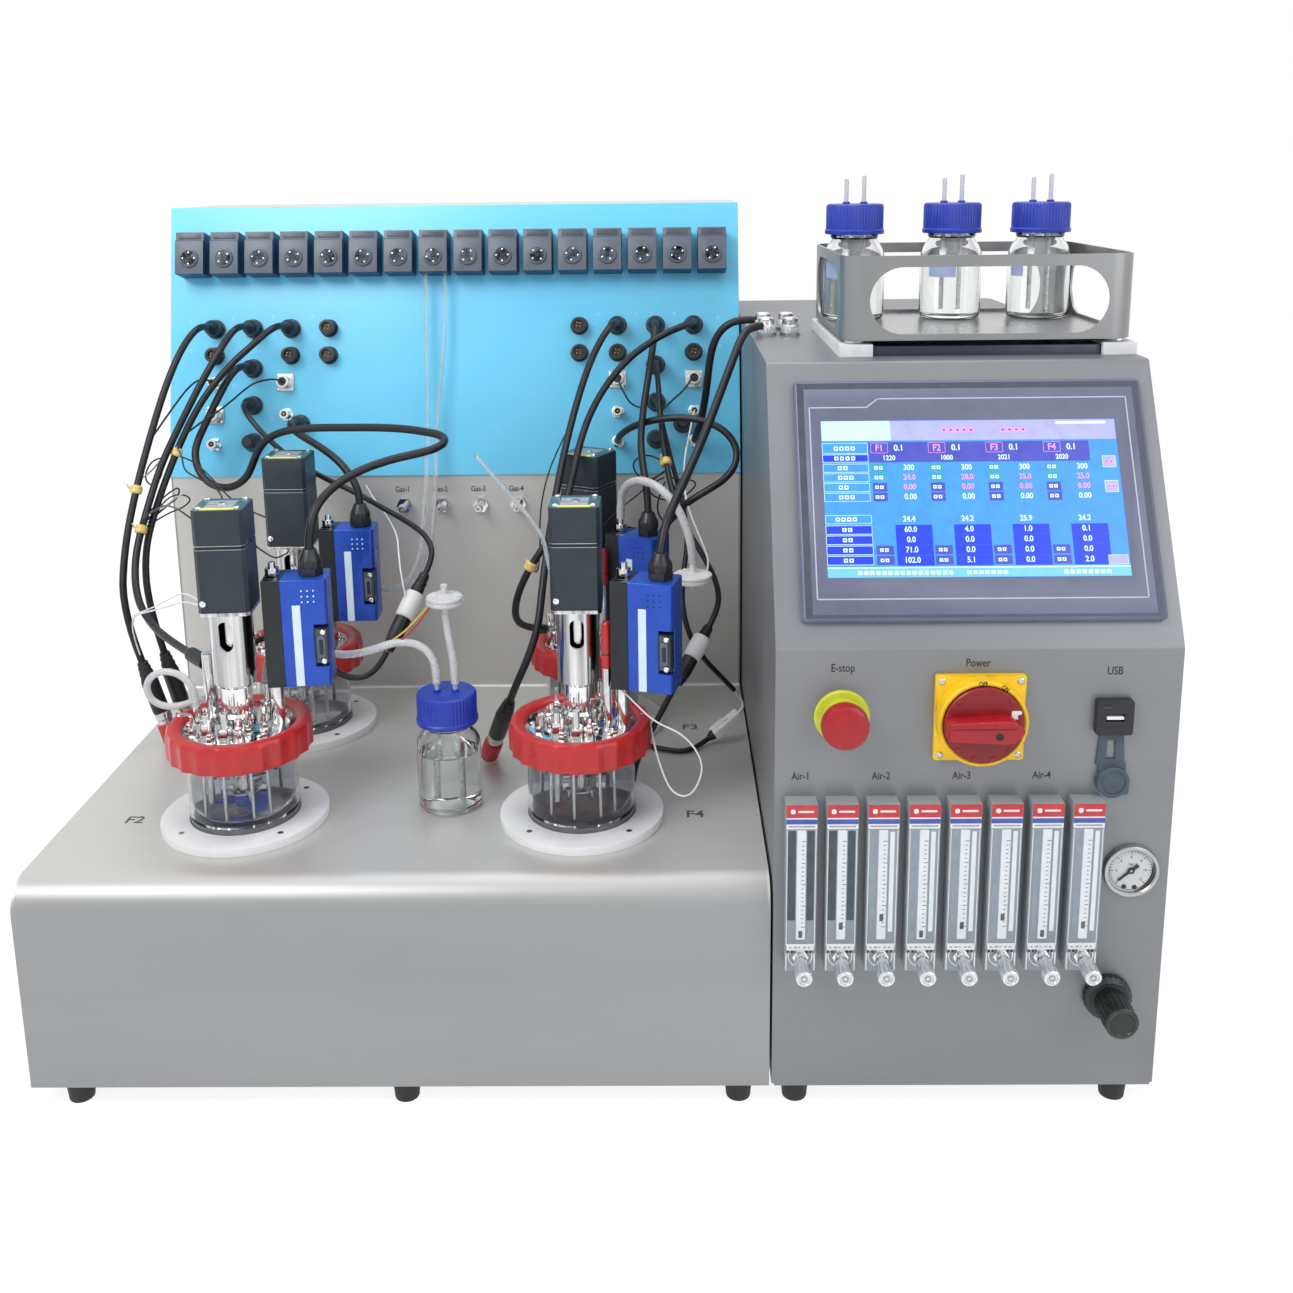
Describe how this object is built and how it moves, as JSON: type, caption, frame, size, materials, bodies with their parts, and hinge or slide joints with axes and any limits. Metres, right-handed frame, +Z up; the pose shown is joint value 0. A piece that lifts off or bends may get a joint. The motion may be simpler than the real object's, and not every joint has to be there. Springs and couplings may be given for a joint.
{
  "type": "bench bioreactor",
  "caption": "Bench bioreactor: stirred glass vessels on a stainless base with a leaning pump panel, beside a control cabinet with screen, gas flow meters and a bottle rack on its roof.",
  "frame": {"origin": "middle of the footprint, at the height of the surface that the feet stand on", "axes": "+Z up, +X to the operator's right, +Y to the back; the controls and the front vessels face -Y"},
  "size_m": [0.9158, 0.709, 0.738],
  "materials": {
    "stainless": "brushed stainless sheet",
    "blue_paint": "satin powder coat",
    "foot_rubber": "moulded",
    "screen_frame": "satin",
    "screen_face": "glossy display",
    "stop_collar_yellow": "moulded",
    "stop_red": "moulded",
    "switch_yellow": "moulded",
    "switch_red": "moulded",
    "socket_black": "moulded",
    "gauge_steel": "turned",
    "needle_black": "printed",
    "regulator_metal": "satin",
    "knob_black": "knurled",
    "clear_acrylic": "polished",
    "knob_clear": "clear knurled",
    "float_steel": "polished",
    "flange_white": "moulded",
    "heater_aluminium": "anodised",
    "clear_glass": "borosilicate",
    "ring_red": "moulded",
    "polished_steel": "turned stainless",
    "motor_black": "satin black",
    "condenser_blue": "anodised blue",
    "sink_aluminium": "black anodised",
    "pump_grey": "moulded",
    "rack_metal": "silver coat",
    "rail_plastic": "moulded",
    "cap_blue": "moulded",
    "tube_clear": "extruded",
    "filter_white": "moulded",
    "cord_black": "smooth jacket",
    "silicone": "translucent silicone"
  },
  "bodies": {
    "root": {"base_shell": "stainless", "base_sides": "stainless", "base_tray": "stainless", "pump_panel": "blue_paint", "cabinet_shell": "stainless", "cabinet_sides": "stainless", "cabinet_tray": "stainless", "rubber_feet": "foot_rubber", "screen_bezel": "screen_frame", "screen_glass": "screen_face", "stop_collar": "stop_collar_yellow", "switch_plate": "switch_yellow", "usb_socket": "socket_black", "usb_cap": "foot_rubber", "gauge_case": "gauge_steel", "regulator_body": "regulator_metal", "flow_meters": "clear_acrylic", "meter_floats": "float_steel", "vessel_flanges": "flange_white", "heater_discs": "heater_aluminium", "vessel_glasses": "clear_glass", "clamp_rings": "ring_red", "head_plates": "polished_steel", "head_fittings": "polished_steel", "coupling_housings": "polished_steel", "stirrer_motors": "motor_black", "condenser_housings": "condenser_blue", "condenser_sinks": "sink_aluminium", "pump_heads": "pump_grey", "cable_sockets": "socket_black", "coax_sockets": "gauge_steel", "gas_barbs": "polished_steel", "bottle_rack": "rack_metal", "rack_rails": "rail_plastic", "media_bottles": "clear_glass", "bottle_caps": "cap_blue", "bottle_tubes": "tube_clear", "vent_filters": "filter_white", "cable_connectors": "socket_black", "power_cords": "cord_black", "probe_cables": "cord_black", "signal_leads": "cord_black", "silicone_tubes": "silicone"},
    "stop_button": {"stop_button": "stop_red"},
    "switch_handle": {"switch_handle": "switch_red"},
    "gauge_needle": {"gauge_needle": "needle_black"},
    "regulator_knob": {"regulator_knob": "knob_black"},
    "valve_knob_1": {"valve_knob_1": "knob_clear"},
    "valve_knob_2": {"valve_knob_2": "knob_clear"},
    "valve_knob_3": {"valve_knob_3": "knob_clear"},
    "valve_knob_4": {"valve_knob_4": "knob_clear"},
    "valve_knob_5": {"valve_knob_5": "knob_clear"},
    "valve_knob_6": {"valve_knob_6": "knob_clear"},
    "valve_knob_7": {"valve_knob_7": "knob_clear"},
    "valve_knob_8": {"valve_knob_8": "knob_clear"},
    "agitator_1": {"agitator_1": "polished_steel"},
    "agitator_2": {"agitator_2": "polished_steel"},
    "agitator_3": {"agitator_3": "polished_steel"},
    "agitator_4": {"agitator_4": "polished_steel"}
  },
  "joints": [
    {"name": "stop_push", "type": "slide", "parent": "root", "child": "stop_button", "axis": [0, 1, 0], "range_m": [0, 0.004]},
    {"name": "switch_turn", "type": "hinge", "parent": "root", "child": "switch_handle", "pos_m": [0.3018, -0.3075, 0.338], "axis": [0, 1, 0], "range_deg": [0, 90]},
    {"name": "gauge_swing", "type": "hinge", "parent": "root", "child": "gauge_needle", "pos_m": [0.4244, -0.3075, 0.21], "axis": [0, 1, 0], "range_deg": [0, 260]},
    {"name": "regulator_turn", "type": "hinge", "parent": "root", "child": "regulator_knob", "pos_m": [0.4124, -0.3075, 0.1014], "axis": [0, 1, 0], "range_deg": [-360, 720]},
    {"name": "valve_turn_1", "type": "hinge", "parent": "root", "child": "valve_knob_1", "pos_m": [0.1678, -0.3075, 0.1457], "axis": [0, 1, 0], "range_deg": [-720, 720]},
    {"name": "valve_turn_2", "type": "hinge", "parent": "root", "child": "valve_knob_2", "pos_m": [0.1989, -0.3075, 0.1457], "axis": [0, 1, 0], "range_deg": [-720, 720]},
    {"name": "valve_turn_3", "type": "hinge", "parent": "root", "child": "valve_knob_3", "pos_m": [0.23, -0.3075, 0.1457], "axis": [0, 1, 0], "range_deg": [-720, 720]},
    {"name": "valve_turn_4", "type": "hinge", "parent": "root", "child": "valve_knob_4", "pos_m": [0.2611, -0.3075, 0.1457], "axis": [0, 1, 0], "range_deg": [-720, 720]},
    {"name": "valve_turn_5", "type": "hinge", "parent": "root", "child": "valve_knob_5", "pos_m": [0.2922, -0.3075, 0.1457], "axis": [0, 1, 0], "range_deg": [-720, 720]},
    {"name": "valve_turn_6", "type": "hinge", "parent": "root", "child": "valve_knob_6", "pos_m": [0.3233, -0.3075, 0.1457], "axis": [0, 1, 0], "range_deg": [-720, 720]},
    {"name": "valve_turn_7", "type": "hinge", "parent": "root", "child": "valve_knob_7", "pos_m": [0.3544, -0.3075, 0.1457], "axis": [0, 1, 0], "range_deg": [-720, 720]},
    {"name": "valve_turn_8", "type": "hinge", "parent": "root", "child": "valve_knob_8", "pos_m": [0.3855, -0.3075, 0.1457], "axis": [0, 1, 0], "range_deg": [-720, 720]},
    {"name": "stirrer_spin_1", "type": "hinge", "parent": "root", "child": "agitator_1", "pos_m": [-0.3, 0.0085, 0.3], "axis": [0, 0, 1], "continuous": true},
    {"name": "stirrer_spin_2", "type": "hinge", "parent": "root", "child": "agitator_2", "pos_m": [-0.3, -0.1915, 0.3], "axis": [0, 0, 1], "continuous": true},
    {"name": "stirrer_spin_3", "type": "hinge", "parent": "root", "child": "agitator_3", "pos_m": [-0.008, 0.0085, 0.3], "axis": [0, 0, 1], "continuous": true},
    {"name": "stirrer_spin_4", "type": "hinge", "parent": "root", "child": "agitator_4", "pos_m": [-0.008, -0.1915, 0.3], "axis": [0, 0, 1], "continuous": true}
  ]
}
